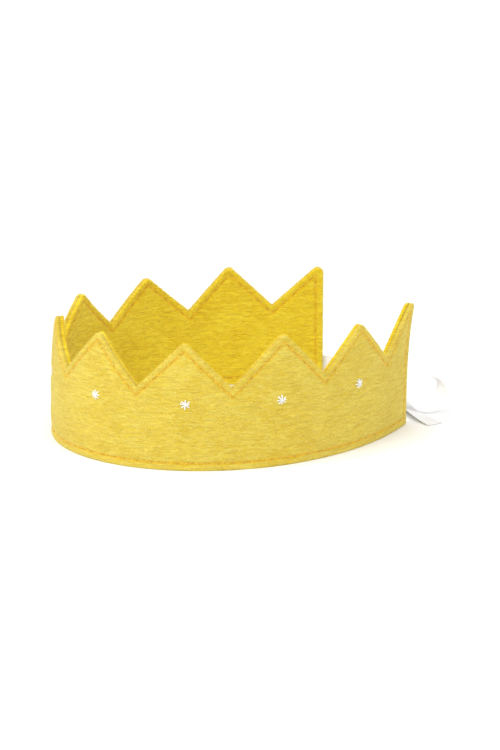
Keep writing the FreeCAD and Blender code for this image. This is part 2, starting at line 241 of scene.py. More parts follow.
def new_piece(name, points, faces, material, pattern=None, smooth=True):
    mesh = bpy.data.meshes.new(name)
    lists = []
    for group in faces:
        lists += group.tolist()
    mesh.from_pydata((points * MM).tolist(), [], lists)
    if smooth:
        mesh.polygons.foreach_set("use_smooth", np.ones(len(mesh.polygons), bool))
    if pattern is not None:
        layer = mesh.uv_layers.new(name="pattern")
        corner = np.empty(len(mesh.loops), int)
        mesh.loops.foreach_get("vertex_index", corner)
        layer.data.foreach_set("uv", (pattern[corner] * 0.01).ravel())
    mesh.materials.append(material)
    piece = bpy.data.objects.new(name, mesh)
    bpy.context.scene.collection.objects.link(piece)
    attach(piece, "root")
    return piece


def grid_faces(rows, columns, start=0, flip=False):
    """Quads of a grid whose points are stored row after row."""
    r, c = np.meshgrid(np.arange(rows - 1), np.arange(columns - 1), indexing="ij")
    a = (start + r * columns + c).ravel()
    quads = np.stack([a, a + 1, a + columns + 1, a + columns], 1)
    return quads[:, ::-1] if flip else quads


# Materials.


def shader(name):
    material = bpy.data.materials.new(name)
    material.use_nodes = True
    tree = material.node_tree
    return material, tree, tree.nodes["Principled BSDF"]


def node(tree, kind, **values):
    made = tree.nodes.new(kind)
    for key, value in values.items():
        if hasattr(made, key):
            setattr(made, key, value)
        else:
            made.inputs[key.replace("_", " ")].default_value = value
    return made


def pattern_vector(tree, stretch):
    """Pattern coordinates, ten millimetres to a tenth, stretched by a factor each way."""
    source = node(tree, "ShaderNodeUVMap", uv_map="pattern")
    mapping = node(tree, "ShaderNodeMapping")
    mapping.inputs["Scale"].default_value = (stretch[0], stretch[1], 1)
    tree.links.new(source.outputs["UV"], mapping.inputs["Vector"])
    return mapping.outputs["Vector"]


def noise(tree, vector, scale, detail=4.0, distortion=0.0):
    made = node(tree, "ShaderNodeTexNoise")
    made.inputs["Scale"].default_value = scale
    made.inputs["Detail"].default_value = detail
    made.inputs["Distortion"].default_value = distortion
    tree.links.new(vector, made.inputs["Vector"])
    return made.outputs["Fac"]


def ramp(tree, value, stops):
    made = node(tree, "ShaderNodeValToRGB")
    ends = made.color_ramp.elements
    ends[0].position, ends[0].color = stops[0][0], stops[0][1] + (1,)
    ends[1].position, ends[1].color = stops[-1][0], stops[-1][1] + (1,)
    for position, colour in stops[1:-1]:
        extra = ends.new(position)
        extra.color = colour + (1,)
    tree.links.new(value, made.inputs["Fac"])
    return made.outputs["Color"]


def blend(tree, share, first, second, mode="MIX"):
    made = node(tree, "ShaderNodeMix", data_type="RGBA", blend_type=mode)
    if isinstance(share, float):
        made.inputs["Factor"].default_value = share
    else:
        tree.links.new(share, made.inputs["Factor"])
    tree.links.new(first, made.inputs["A"])
    tree.links.new(second, made.inputs["B"])
    return made.outputs["Result"]


def bump(tree, height, strength, distance, before=None):
    made = node(tree, "ShaderNodeBump")
    made.inputs["Strength"].default_value = strength
    made.inputs["Distance"].default_value = distance
    tree.links.new(height, made.inputs["Height"])
    if before is not None:
        tree.links.new(before, made.inputs["Normal"])
    return made.outputs["Normal"]


def felt_material(name, deep, middle, pale, shadow):
    """Brushed wool felt: cloudy colour, streaks along the nap and fine matted fibres, with painted shade in
    the seam groove.
    """
    material, tree, surface = shader(name)
    cloud = noise(tree, pattern_vector(tree, (1, 1)), 6.0, 5.0, 0.6)
    streak = noise(tree, pattern_vector(tree, (9, 42)), 1.6, 6.0, 1.4)
    fibre = noise(tree, pattern_vector(tree, (34, 130)), 1.5, 5.0, 2.2)
    matted = noise(tree, pattern_vector(tree, (60, 60)), 1.4, 3.0, 1.0)
    base = ramp(tree, cloud, [(0.32, deep), (0.5, middle), (0.7, pale)])
    lines = ramp(tree, streak, [(0.36, deep), (0.5, middle), (0.65, pale)])
    colour = blend(tree, 0.65, base, lines)
    fine = ramp(tree, fibre, [(0.3, (0.80, 0.78, 0.62)), (0.62, (1.04, 1.04, 1.08))])
    colour = blend(tree, 0.8, colour, fine, "MULTIPLY")
    # Painted shade in the seam groove: where the groove mask is high, the colour turns to the darker shadow
    # colour.
    groove = node(tree, "ShaderNodeAttribute", attribute_name="groove").outputs["Fac"]
    seam_painted_shade = ramp(tree, matted, [(0.3, shadow), (0.7, tuple(c * 1.15 for c in shadow))])
    colour = blend(tree, groove, colour, seam_painted_shade)
    tree.links.new(colour, surface.inputs["Base Color"])
    rough = node(tree, "ShaderNodeMapRange", To_Min=0.82, To_Max=0.98)
    tree.links.new(streak, rough.inputs["Value"])
    tree.links.new(rough.outputs["Result"], surface.inputs["Roughness"])
    normal = bump(tree, matted, 0.5, 0.0003)
    normal = bump(tree, fibre, 0.75, 0.0005, normal)
    normal = bump(tree, streak, 0.8, 0.0014, normal)
    tree.links.new(normal, surface.inputs["Normal"])
    surface.inputs["Specular IOR Level"].default_value = 0.15
    surface.inputs["Sheen Weight"].default_value = 0.35
    surface.inputs["Sheen Roughness"].default_value = 0.45
    surface.inputs["Sheen Tint"].default_value = (1.0, 0.93, 0.62, 1)
    return material


def fibre_material(name, dark, light):
    """Loose fibres: each lies at its own place in the pattern, so its shade changes with place."""
    material, tree, surface = shader(name)
    shade = noise(tree, pattern_vector(tree, (20, 20)), 7.0, 2.0)
    tree.links.new(ramp(tree, shade, [(0.35, dark), (0.65, light)]), surface.inputs["Base Color"])
    surface.inputs["Roughness"].default_value = 0.7
    surface.inputs["Specular IOR Level"].default_value = 0.2
    surface.inputs["Sheen Weight"].default_value = 0.2
    surface.inputs["Sheen Tint"].default_value = (1.0, 0.95, 0.7, 1)
    return material


def twisted_material(name, dark, light, turns, roughness):
    """Thread: plies that wind round it, drawn by slanting bands along its length; the dark bands are
    painted shade in the grooves between the plies.
    """
    material, tree, surface = shader(name)
    band = node(tree, "ShaderNodeTexWave", bands_direction="DIAGONAL", wave_profile="SIN")
    band.inputs["Scale"].default_value = turns
    band.inputs["Distortion"].default_value = 0.6
    band.inputs["Detail"].default_value = 2.0
    tree.links.new(pattern_vector(tree, (1, 1)), band.inputs["Vector"])
    hair = noise(tree, pattern_vector(tree, (60, 160)), 2.0, 3.0)
    # Painted shade: dark where the bands dip between the plies, light on their crowns.
    shade = ramp(tree, band.outputs["Fac"], [(0.1, dark), (0.6, light)])
    tree.links.new(shade, surface.inputs["Base Color"])
    normal = bump(tree, band.outputs["Fac"], 0.8, 0.00012)
    normal = bump(tree, hair, 0.4, 0.00008, normal)
    tree.links.new(normal, surface.inputs["Normal"])
    surface.inputs["Roughness"].default_value = roughness
    surface.inputs["Sheen Weight"].default_value = 0.15
    return material


def ribbon_material(name):
    """Soft white ribbon: fine plain weave, a firmer edge and faint wrinkles along it; the weave's darker
    cross lines are painted shade between the threads.
    """
    material, tree, surface = shader(name)
    threads = []
    for direction, scale in (("X", 80.0), ("Y", 95.0)):
        band = node(tree, "ShaderNodeTexWave", bands_direction=direction, wave_profile="SIN")
        band.inputs["Scale"].default_value = scale
        band.inputs["Distortion"].default_value = 0.5
        band.inputs["Detail"].default_value = 1.0
        tree.links.new(pattern_vector(tree, (1, 1)), band.inputs["Vector"])
        threads.append(band.outputs["Fac"])
    cloud = noise(tree, pattern_vector(tree, (1, 3)), 9.0, 3.0)
    tint = ramp(tree, cloud, [(0.35, (0.86, 0.85, 0.83)), (0.65, (0.93, 0.93, 0.93))])
    # Painted shade: the cross lines darken where the weave dips.
    cross = ramp(tree, threads[0], [(0.1, (0.93, 0.93, 0.93)), (0.7, (1.0, 1.0, 1.0))])
    tint = blend(tree, 0.6, tint, cross, "MULTIPLY")
    tree.links.new(tint, surface.inputs["Base Color"])
    wrinkle = noise(tree, pattern_vector(tree, (4, 26)), 2.2, 3.0, 0.8)
    normal = bump(tree, wrinkle, 0.35, 0.0006)
    normal = bump(tree, threads[0], 0.35, 0.00008, normal)
    normal = bump(tree, threads[1], 0.35, 0.00008, normal)
    tree.links.new(normal, surface.inputs["Normal"])
    surface.inputs["Roughness"].default_value = 0.5
    surface.inputs["Specular IOR Level"].default_value = 0.35
    surface.inputs["Sheen Weight"].default_value = 0.2
    return material


# Shares of red, green and blue that bring each face of the wool to its shade. The inner tint is deeper and
# more saturated: it paints the shade and yellow bounce light inside the crown into the colour of the same
# felt.
OUTER_TINT = (0.89, 0.91, 0.80)
INNER_SHADE_TINT = (1.01, 1.05, 0.45)


def tinted(colour, tint):
    return tuple(min(c * t, 0.97) for c, t in zip(colour, tint))


# The fourth colour of each felt is the painted shade in its seam groove.
OUTER_FELT = felt_material("outer_felt", *(tinted(c, OUTER_TINT) for c in (
    (0.74, 0.50, 0.035), (0.85, 0.63, 0.075), (0.92, 0.75, 0.16), (0.74, 0.45, 0.02))))
# Inner felt: the same yellow felt in deeper colours, painted shade of the crown's inside.
INNER_FELT = felt_material("inner_felt", *(tinted(c, INNER_SHADE_TINT) for c in (
    (0.70, 0.45, 0.018), (0.84, 0.60, 0.045), (0.92, 0.72, 0.12), (0.70, 0.42, 0.012))))
OUTER_FIBRE = fibre_material("outer_fibre", *(tinted(c, OUTER_TINT) for c in (
    (0.80, 0.58, 0.06), (0.95, 0.82, 0.26))))
# Inner fibres: the same painted shade as the inner felt.
INNER_FIBRE = fibre_material("inner_fibre", *(tinted(c, INNER_SHADE_TINT) for c in (
    (0.78, 0.53, 0.035), (0.93, 0.76, 0.17))))
SEAM_THREAD = twisted_material("seam_thread", (0.58, 0.29, 0.010), (0.84, 0.52, 0.03), 9.0, 0.55)
STAR_FLOSS = twisted_material("star_floss", (0.80, 0.79, 0.76), (0.95, 0.95, 0.94), 7.0, 0.45)
WHITE_RIBBON = ribbon_material("white_ribbon")


# Felt layers.


def spaced(start, end, fine, coarse, reach):
    """Places from start to end, close together near both and further apart between them."""
    probe = np.linspace(start, end, 400)
    near = np.minimum(probe - start, end - probe)
    spacing = fine + (coarse - fine) * np.clip(near / reach, 0, 1)
    count = np.concatenate([[0.0], np.cumsum(np.diff(probe) * 2 / (spacing[1:] + spacing[:-1]))])
    total = math.ceil(count[-1])
    return np.interp(np.linspace(0, count[-1], total + 1), count, probe)


def felt_columns():
    marks = [0.0]
    for along, _, _ in sorted(pattern_corners()):
        if 1 < along < BAND_LENGTH - 1:
            marks.append(along)
    marks.append(BAND_LENGTH)
    columns = [0.0]
    for start, end in zip(marks, marks[1:]):
        columns += spaced(start, end, 0.38, 0.95, 5.0)[1:].tolist()
    ends = np.array([0.08, 0.22])
    return np.unique(np.concatenate([columns, ends, BAND_LENGTH - ends]))


FOOT_ROWS = np.array([0, 0.08, 0.25, 0.5, 0.9, 1.5, 2.3, 3.0, 3.4, 3.7, 4.0, 4.3, 4.6, 5.0, 5.8])
TOP_ROWS = np.array([6.8, 5.8, 5.2, 4.7, 4.25, 3.8, 3.4, 2.7, 1.9, 1.2, 0.7, 0.35, 0.11, 0])
MIDDLE_ROWS = 32


def back_depth(along):
    """The layers nearly touch, and part near the ends to let the ribbons in."""
    from_end = np.minimum(along, BAND_LENGTH - along)
    return 0.05 + (BACK_DEPTH - 0.05) * np.clip((18 - from_end) / 6, 0, 1)


def felt_cloth(name, side, material, seed):
    """One layer of felt as a closed sheet, its face fine and its hidden back coarse."""
    columns = felt_columns()
    top = top_of(columns)
    share = np.linspace(0, 1, MIDDLE_ROWS + 2)[1:-1]
    between = FOOT_ROWS[-1] + share[:, None] * (top - TOP_ROWS[0] - FOOT_ROWS[-1])[None, :]
    foot_rows = np.full((len(FOOT_ROWS), len(columns)), 0.0) + FOOT_ROWS[:, None]
    top_rows = top[None, :] - TOP_ROWS[:, None]
    up = np.concatenate([foot_rows, between, top_rows])
    along = np.zeros_like(up) + columns[None, :]
    depth = face_depth(along, up, seed)
    rim = FACE_DEPTH - EDGE_ROUND
    depth[0], depth[-1], depth[:, 0], depth[:, -1] = rim, rim, rim, rim
    front = on_band(along, up, side * depth).reshape(-1, 3)
    back_rows = np.array([0, 15, 31, 47, len(up) - 1])
    back = on_band(along[back_rows], up[back_rows], side * back_depth(along[back_rows])).reshape(-1, 3)
    points = np.concatenate([front, back])
    wide = len(columns)
    offset = len(front)
    outward = side > 0
    faces = [grid_faces(len(up), wide, 0, not outward), grid_faces(len(back_rows), wide, offset, outward)]
    c = np.arange(wide - 1)
    foot = np.stack([c, offset + c, offset + c + 1, c + 1], 1)
    high = (len(up) - 1) * wide
    low = offset + (len(back_rows) - 1) * wide
    head = np.stack([high + c, high + c + 1, low + c + 1, low + c], 1)
    faces += [foot, head] if outward else [foot[:, ::-1], head[:, ::-1]]
    for column in (0, wide - 1):
        triangles = []
        for k in range(len(back_rows) - 1):
            b = offset + k * wide + column
            for r in range(back_rows[k], back_rows[k + 1]):
                triangles.append((r * wide + column, (r + 1) * wide + column, b))
            triangles.append((back_rows[k + 1] * wide + column, b + wide, b))
        triangles = np.array(triangles)
        turned = (column == 0) == outward
        faces.append(triangles if turned else triangles[:, ::-1])
    pattern = np.stack([along.ravel(), up.ravel()], 1)
    under = np.stack([along[back_rows].ravel(), up[back_rows].ravel()], 1)
    piece = new_piece(name, points, faces, material, np.concatenate([pattern, under]))
    # Mask for the painted shade in the seam groove, kept as the groove attribute.
    seam, _ = nearest(SEAM, along, up)
    groove = np.concatenate([np.exp(-(seam / 0.7) ** 2).ravel(), np.zeros(len(back))])
    piece.data.attributes.new("groove", "FLOAT", "POINT").data.foreach_set("value", groove)
    return piece


def strips(centre, across, widths):
    """Flat fibres: centre lines, the way their width points and their widths, as points and quads."""
    count, steps = centre.shape[:2]
    left = centre - across * widths
    right = centre + across * widths
    points = np.stack([left, right], 2).reshape(-1, 3)
    first = (np.arange(count) * steps * 2)[:, None] + (np.arange(steps - 1) * 2)[None, :]
    first = first.ravel()
    return points, np.stack([first, first + 1, first + 3, first + 2], 1)


# Lengths and half widths of loose fibres, and how much of their width each keeps along its length.
NAP_LENGTHS = (1.0, 2.6)
NAP_LIFTS = (0.06, 0.42)
NAP_SINK = 0.04
NAP_HALF_WIDTHS = (0.035, 0.07)
NAP_CLEAR_OF_SEAM = 0.9
FUZZ_LENGTHS = (0.45, 1.35)
FUZZ_HALF_WIDTHS = (0.03, 0.06)
FUZZ_SINK = 0.25
FIBRE_TAPER = np.array([1.0, 0.8, 0.15])


def brushed_nap(name, side, count, material, seed):
    """Short fibres brushed along the face, each rising a little from it and curling back."""
    picks = np.random.default_rng(seed)
    along = picks.uniform(0.3, BAND_LENGTH - 0.3, count)
    up = picks.uniform(0.0, 1.0, count) * (top_of(along) - 0.4) + 0.2
    seam, _ = nearest(SEAM, along, up)
    kept = (seam > NAP_CLEAR_OF_SEAM) | (picks.uniform(0, 1, count) < 0.05)
    along, up = along[kept], up[kept]
    count = len(along)
    angle = 0.55 * waves(along, up, seed + 5, 22) + picks.normal(0, 0.5, count)
    angle = np.where(picks.uniform(0, 1, count) < 0.5, angle, angle + math.pi)
    length = picks.uniform(*NAP_LENGTHS, count)
    curl = picks.normal(0, 0.5, count)
    lift = picks.uniform(*NAP_LIFTS, count) ** 1.2
    root_depth = face_depth(along, up, seed)
    shares = np.array([0.0, 0.5, 1.0])
    turned = angle[:, None] + curl[:, None] * shares[None, :]
    reach = length[:, None] * shares[None, :]
    a = along[:, None] + np.cos(turned) * reach
    z = up[:, None] + np.sin(turned) * reach
    z = np.minimum(z, top_of(a) + 0.35)
    rise = -NAP_SINK + lift[:, None] * np.sin(shares * math.pi * 0.75)[None, :]
    d = root_depth[:, None] + rise
    edge_side = np.clip(a, -0.4, BAND_LENGTH + 0.4)
    centre = on_band(edge_side, z, side * d)
    ahead = on_band(edge_side - 0.1 * np.sin(turned), z + 0.1 * np.cos(turned), side * d)
    across = ahead - centre
    across = across / np.maximum(np.linalg.norm(across, axis=-1, keepdims=True), 1e-6)
    widths = (picks.uniform(*NAP_HALF_WIDTHS, count)[:, None] * FIBRE_TAPER[None, :])[..., None]
    points, faces = strips(centre, across, widths)
    pattern = np.repeat(np.stack([a.ravel(), z.ravel()], 1), 2, axis=0)
    return new_piece(name, points, [faces], material, pattern)


def edge_fuzz(name, side, count, material, seed):
    """Fibres that stand out of the cut edge and soften it."""
    picks = np.random.default_rng(seed)
    a, b = OUTLINE, np.roll(OUTLINE, -1, axis=0)
    lengths = np.linalg.norm(b - a, axis=1)
    pick = picks.choice(len(a), count, p=lengths / lengths.sum())
    share = picks.uniform(0, 1, count)
    base = a[pick] + (b[pick] - a[pick]) * share[:, None]
    tangent = unit(b[pick] - a[pick])
    outward = np.stack([tangent[:, 1], -tangent[:, 0]], 1)
    spread = picks.normal(0, 0.8, count)
    way = outward * np.cos(spread)[:, None] + tangent * np.sin(spread)[:, None]
    base = base - outward * FUZZ_SINK
    length = picks.uniform(*FUZZ_LENGTHS, count)
    depth = picks.uniform(BACK_DEPTH + 0.1, FACE_DEPTH - 0.35, count)
    splay = picks.normal(0.1, 0.45, count)
    shares = np.array([0.0, 0.55, 1.0])
    reach = length[:, None] * shares[None, :]
    bend = picks.normal(0, 0.35, count)
    s = base[:, :1] + way[:, :1] * reach + tangent[:, :1] * bend[:, None] * shares[None, :] ** 2
    z = base[:, 1:] + way[:, 1:] * reach + tangent[:, 1:] * bend[:, None] * shares[None, :] ** 2
    d = depth[:, None] + splay[:, None] * reach
    centre = on_band(s, z, side * d)
    facing = on_band(s, z, side * (d + 0.1)) - centre
    mixed = picks.uniform(0, 1, count) < 0.5
    sideways = on_band(s + 0.1 * tangent[:, :1], z + 0.1 * tangent[:, 1:], side * d) - centre
    across = np.where(mixed[:, None, None], facing, sideways)
    across = across / np.maximum(np.linalg.norm(across, axis=-1, keepdims=True), 1e-6)
    widths = (picks.uniform(*FUZZ_HALF_WIDTHS, count)[:, None] * FIBRE_TAPER[None, :])[..., None]
    points, faces = strips(centre, across, widths)
    pattern = np.repeat(np.stack([s.ravel(), z.ravel()], 1), 2, axis=0)
    return new_piece(name, points, [faces], material, pattern)


def seam_stitches(name, side, seed):
    """Arched stitches, one after another round the seam, diving into the felt between them."""
    picks = np.random.default_rng(seed)
    starts, ends = [], []
    for a, b in zip(SEAM, np.roll(SEAM, -1, axis=0)):
        length = np.linalg.norm(b - a)
        count = max(1, round(length / STITCH_PITCH))
        for k in range(count):
            jog = picks.normal(0, 0.05)
            starts.append(a + (b - a) * ((k + (1 - STITCH_SHARE) / 2) / count + jog / length))
            ends.append(a + (b - a) * ((k + (1 + STITCH_SHARE) / 2) / count + jog / length))
    starts, ends = np.array(starts), np.array(ends)
    count = len(starts)
    aside = picks.normal(0, 0.09, (count, 1))
    ways = unit(ends - starts)
    normals = np.stack([-ways[:, 1], ways[:, 0]], 1)
    rings, sides = 7, 7
    t = np.linspace(0, 1, rings)
    around = np.linspace(0, 2 * math.pi, sides, endpoint=False)
    arch = -0.42 + 0.62 * np.sin(math.pi * t) ** 0.55
    middle = starts[:, None, :] + (ends - starts)[:, None, :] * t[None, :, None]
    slant = picks.normal(0, 0.05, (count, 1, 1)) * t[None, :, None]
    middle = middle + normals[:, None, :] * (aside[:, None, :] + slant)
    radius = STITCH_RADIUS * (0.8 + 0.2 * np.sin(math.pi * t))
    swing = np.cos(around)[None, :] * radius[:, None]
    lift = np.sin(around)[None, :] * radius[:, None] * 0.85
    s = middle[:, :, None, 0] + normals[:, None, None, 0] * swing[None]
    z = middle[:, :, None, 1] + normals[:, None, None, 1] * swing[None]
    d = FACE_DEPTH - SEAM_DEPTH - 0.1 + (arch[:, None] + lift)[None] + 0 * s
    points = on_band(s, z, side * d).reshape(-1, 3)
    quads = []
    for r in range(rings - 1):
        for k in range(sides):
            after = (k + 1) % sides
            quads.append((r * sides + k, r * sides + after, (r + 1) * sides + after, (r + 1) * sides + k))
    quads = np.array(quads)
    if side > 0:
        quads = quads[:, ::-1]
    per = rings * sides
    faces = (quads[None] + (np.arange(count) * per)[:, None, None]).reshape(-1, 4)
    run = np.linspace(0, 2.0, rings)[None, :, None] + np.arange(count)[:, None, None] * STITCH_PITCH
    turn = np.linspace(0, 2.1, sides)[None, None, :] + 0 * run
    pattern = np.stack([(run + 0 * turn).ravel(), turn.ravel()], 1)
    return new_piece(name, points, [faces], SEAM_THREAD, pattern)


# Embroidered stars.


def star_floss(tooth, seed):
    """Four long stitches crossing at the middle, each of three plies twisted together."""
    picks = np.random.default_rng(seed + tooth)
    middle = np.array([FIRST_NOTCH + (tooth - 0.5) * TOOTH_PITCH, STAR_HEIGHT])
    points, faces, pattern = [], [], []
    rings, sides = 17, 7
    t = np.linspace(-1, 1, rings)
    around = np.linspace(0, 2 * math.pi, sides, endpoint=False)
    turned = picks.normal(0, 0.06)
    for strand in range(4):
        angle = math.pi * strand / 4 + turned + picks.normal(0, 0.05)
        half = STAR_SPAN / 2 * picks.uniform(0.93, 1.07)
        way = np.array([math.cos(angle), math.sin(angle)])
        cross = np.array([-way[1], way[0]])
        nudge = picks.normal(0, 0.12, 2)
        arch = -0.35 + (0.72 + 0.11 * strand) * (1 - np.abs(t) ** 3.5)
        for ply in range(3):
            phase = 2 * math.pi * ply / 3
            winding = t * half / 1.5 * 2 * math.pi + phase
            pinch = 0.55 + 0.45 * np.sqrt(np.maximum(1 - t ** 4, 0))
            shift = 0.21 * pinch * np.cos(winding)
            rise = arch + 0.17 * pinch * np.sin(winding)
            radius = 0.23 * pinch
            swing = shift[:, None] + radius[:, None] * np.cos(around)[None, :]
            d = FACE_DEPTH + 0.02 + rise[:, None] + radius[:, None] * np.sin(around)[None, :]
            s = middle[0] + nudge[0] + way[0] * (t * half)[:, None] + cross[0] * swing
            z = middle[1] + nudge[1] + way[1] * (t * half)[:, None] + cross[1] * swing
            start = len(points) * rings * sides
            points.append(on_band(s, z, d).reshape(-1, 3))
            for r in range(rings - 1):
                for k in range(sides):
                    after = (k + 1) % sides
                    a, b = start + r * sides, start + (r + 1) * sides
                    faces.append((a + k, b + k, b + after, a + after))
            run = (t * half)[:, None] + 0 * swing
            pattern.append(np.stack([run.ravel(), (around[None, :] * 0.3 + 0 * swing).ravel()], 1))
    piece = new_piece(
        f"star_floss_{tooth}", np.concatenate(points), [np.array(faces)], STAR_FLOSS,
        np.concatenate(pattern))
    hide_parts(f"star_stitch_{tooth}")
    return piece


# Ribbons. Bow shapes are stations from the knot: out along the bow, across it and up; the way the
# ribbon's width points there, in the same directions; and the ribbon's width.
KNOT_ALONG_GAP = 5.5
KNOT_OUT_OF_GAP = 6.0
KNOT_HEIGHT = 9.2
BOW_TURN = 40.0
WRAP_LENGTH = 4.6
WRAP_WIDTH = 7.6
WRAP_DEPTH = 7.0
WRAP_GAP = 0.3
WRAP_ENTRY_HEIGHT = 1.4
RIBBON_SEWN_IN = 9.0
WIDE = RIBBON_WIDTH
RIGHT_LOOP = (
    ((2.7, 0, 1.4), (0, 1, 0), GATHERED_WIDTH),
    ((7.5, 0.5, 3.4), (-0.15, 1, 0.2), 6.5),
    ((12, 1, 5.8), (-0.25, 0.9, 0.4), 8.5),
    ((17.5, 1.5, 7.3), (-0.3, 0.8, 0.5), WIDE),
    ((24, 2.3, 8.4), (-0.3, 0.95, 0.1), WIDE),
    ((30, 2, 8.9), (-0.3, 0.95, -0.1), WIDE),
    ((34.8, 1.3, 7.4), (-0.5, 0.75, -0.3), WIDE),
    ((37.2, 0, 4), (-0.8, 0.5, -0.1), WIDE),
    ((37.6, -2, 0), (-0.9, 0.3, 0.2), WIDE),
    ((35, -4.5, -3.3), (-0.7, 0.3, 0.65), WIDE),
    ((30.5, -6.2, -4.2), (-0.5, 0.4, 0.75), WIDE),
    ((25, -5.4, -3.4), (-0.35, 0.9, 0.15), WIDE),
    ((19, -3.3, -2.9), (-0.3, 0.95, -0.3), 9),
    ((13, -1.2, -2.4), (-0.1, 1, -0.1), 7.5),
    ((8, -0.5, -1.8), (0, 1, 0), 6),
    ((3.2, 0, -1), (0, 1, 0), GATHERED_WIDTH))
LEFT_LOOP = (
    ((-2.7, 0, 1.2), (0, 1, 0), GATHERED_WIDTH),
    ((-7.5, 0.5, 2.4), (0, 1, 0), 6.5),
    ((-13, 0, 3.8), (0, 1, 0.2), 9),
    ((-20, -2, 4.2), (0.3, 0.95, 0.2), WIDE),
    ((-27, -5, 3.6), (0.4, 0.9, 0.2), WIDE),
    ((-32, -8.6, 1.4), (0.5, 0.85, 0.2), WIDE),
    ((-33.6, -11.6, -2.3), (0.6, 0.75, 0.1), WIDE),
    ((-30.4, -11.8, -5.8), (0.6, 0.8, 0.1), WIDE),
    ((-24, -9.6, -6.8), (0.5, 0.85, 0.1), WIDE),
    ((-17, -6.4, -6.6), (0.4, 0.9, 0), WIDE),
    ((-12, -3.2, -5), (0.2, 1, 0), 8.5),
    ((-7, -1, -2.8), (0, 1, 0), 6.5),
    ((-2.5, 0, -1), (0, 1, 0), GATHERED_WIDTH))
RIGHT_TAIL = (
    ((3.2, 0, -2.4), (0, 1, 0), GATHERED_WIDTH),
    ((7.4, -0.4, -3.8), (0, 1, 0), 6),
    ((12, -1.6, -6.8), (0.1, 1, 0), 8),
    ((17, -4, -8.2), (0.45, 0.9, -0.1), WIDE),
    ((22.4, -8.6, -7.6), (0.65, 0.75, -0.25), WIDE),
    ((28.2, -14.2, -7.5), (0.65, 0.75, -0.25), WIDE),
    ((35.2, -20, -8.2), (0.65, 0.75, -0.12), WIDE),
    ((43.3, -25.5, -8.85), (0.75, 0.65, 0), WIDE))
LEFT_TAIL = (
    ((-2.6, 0, -2.4), (0, 1, 0), GATHERED_WIDTH),
    ((-7.2, 1, -4), (0.1, 1, 0), 6),
    ((-12, 2, -7), (0.2, 0.95, 0), 8),
    ((-17, 4, -8.4), (0.4, 0.9, 0), WIDE),
    ((-23, 8, -8.7), (0.55, 0.85, 0), WIDE),
    ((-29, 13, -8.8), (0.65, 0.75, 0), WIDE),
    ((-34.5, 19.5, -8.85), (0.8, 0.6, 0), WIDE))
LEFT_LEAD = (
    (0.12, 3.8, -0.3, (0, 1), WIDE),
    (0.28, 6.6, -0.7, (0, 1), WIDE),
    (0.48, 6.8, -1.0, (0, 1), WIDE),
    (0.7, 4.4, -1.2, (0.2, 1), WIDE),
    (0.86, 1.4, -0.8, (0.8, 0.8), 7.5),
    (0.96, 0.2, -0.1, (1, 0.2), GATHERED_WIDTH),
    (1.05, 0, 0, (1, 0), 4.4))
RIGHT_LEAD = (
    (0.1, -1.7, 0.1, (0, 1), WIDE),
    (0.25, -3.2, 0.3, (0, 1), WIDE),
    (0.45, -3.8, 0.2, (0, 1), WIDE),
    (0.68, -2.6, -0.3, (0.4, 0.9), 9),
    (0.86, -0.8, -0.4, (0.9, 0.5), 7),
    (0.96, 0, -0.1, (1, 0.1), GATHERED_WIDTH),
    (1.05, 0, 0, (1, 0), 4.4))

UP = np.array([0.0, 0.0, 1.0])


def bow_frame():
    """The knot's middle, and the level directions out along the bow and across it."""
    _, points, _ = BAND
    first = np.append(points[1], 0.0)
    last = np.append(points[-2], 0.0)
    along_gap = unit(last - first)
    out_of_gap = np.cross(UP, along_gap)
    knot = (first + last) / 2 + along_gap * KNOT_ALONG_GAP + out_of_gap * KNOT_OUT_OF_GAP + UP * KNOT_HEIGHT
    turn = math.radians(BOW_TURN)
    out = along_gap * math.cos(turn) + out_of_gap * math.sin(turn)
    return knot, out, np.cross(UP, out)


KNOT, BOW_OUT, BOW_ACROSS = bow_frame()


def in_bow(place):
    return BOW_OUT * place[0] + BOW_ACROSS * place[1] + UP * place[2]


def bow_stations(shape):
    return [(KNOT + in_bow(place), in_bow(width_way), width) for place, width_way, width in shape]


def lead_stations(shape, side):
    """From between the felt layers to the knot. side is 1 at the first end and -1 at the last."""
    end = 0.0 if side > 0 else BAND_LENGTH
    stations = []
    for sewn in (RIBBON_SEWN_IN, RIBBON_SEWN_IN / 2, 0.0):
        point = on_band(np.array([end + side * sewn]), np.array([RIBBON_HEIGHT]), np.array([0.0]))[0]
        stations.append((point, UP, WIDE))
    leave = stations[-1][0]
    wrap_side = (side * (WRAP_GAP + WRAP_LENGTH) / 2, side * WRAP_WIDTH / 2, side * WRAP_ENTRY_HEIGHT)
    way = KNOT + in_bow(wrap_side) - leave
    aside = unit(np.cross(UP, way))
    for share, bowed, rise, (bow_way, upright), width in shape:
        point = leave + way * share + aside * bowed + UP * rise
        stations.append((point, in_bow((bow_way, 0, upright)), width))
    return stations


def smooth_through(places, values, finer):
    """Natural cubic curve through values at places, read at finer places."""
    n = len(places)
    gaps = np.diff(places)
    system = np.eye(n)
    right = np.zeros((n, values.shape[1]))
    for i in range(1, n - 1):
        system[i, i - 1] = gaps[i - 1]
        system[i, i] = 2 * (gaps[i - 1] + gaps[i])
        system[i, i + 1] = gaps[i]
        right[i] = 6 * ((values[i + 1] - values[i]) / gaps[i] - (values[i] - values[i - 1]) / gaps[i - 1])
    bends = np.linalg.solve(system, right)
    k = np.clip(np.searchsorted(places, finer, side="right") - 1, 0, n - 2)
    gap = gaps[k][:, None]
    a = (places[k + 1] - finer)[:, None] / gap
    b = 1 - a
    curve = a * values[k] + b * values[k + 1]
    return curve + ((a ** 3 - a) * bends[k] + (b ** 3 - b) * bends[k + 1]) * gap ** 2 / 6


